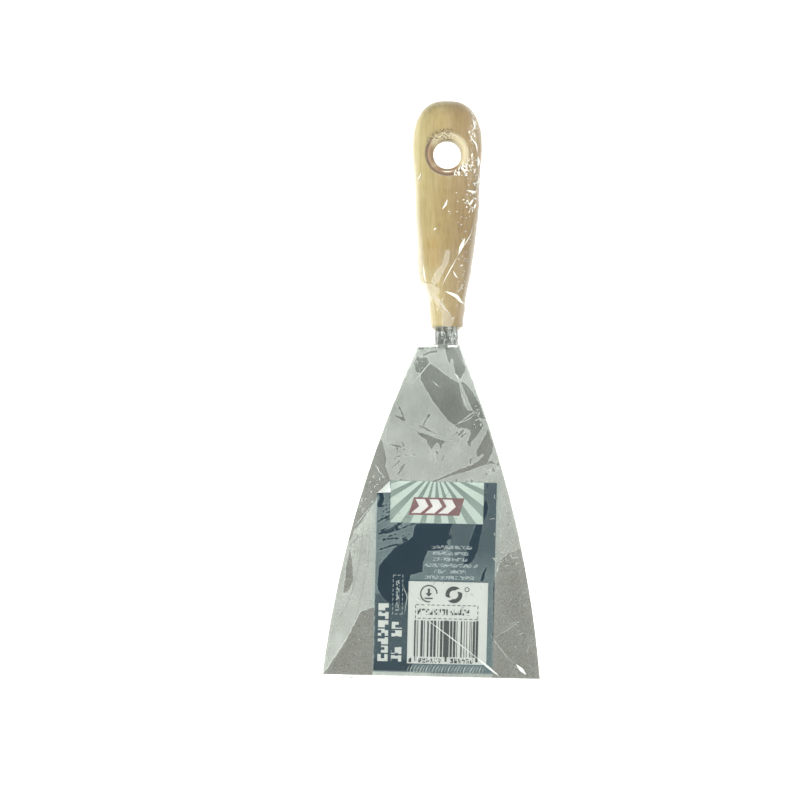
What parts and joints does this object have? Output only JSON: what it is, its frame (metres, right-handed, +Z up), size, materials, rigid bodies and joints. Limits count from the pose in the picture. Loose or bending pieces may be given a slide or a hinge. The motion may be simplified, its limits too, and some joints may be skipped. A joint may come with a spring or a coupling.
{
  "type": "paint scraper",
  "caption": "Flat flared steel scraper blade on a shaped wooden handle with a hanging hole, sealed in clear shrink wrap over a printed card.",
  "frame": {"origin": "middle of the bounding box's bottom face: the table under the scraper, which lies on its back", "axes": "+Y towards the handle's rounded end, +Z up off the table and out of the printed side, +X to the right with the handle away from the viewer"},
  "size_m": [0.0818, 0.2132, 0.0195],
  "materials": {
    "handle_wood": "clear lacquer",
    "blade_steel": "brushed lengthwise",
    "printed_card": "printed card, satin",
    "clear_film": "clear glossy film"
  },
  "bodies": {
    "root": {"handle": "handle_wood", "blade": "blade_steel", "label_card": "printed_card", "shrink_film": "clear_film"}
  },
  "joints": []
}
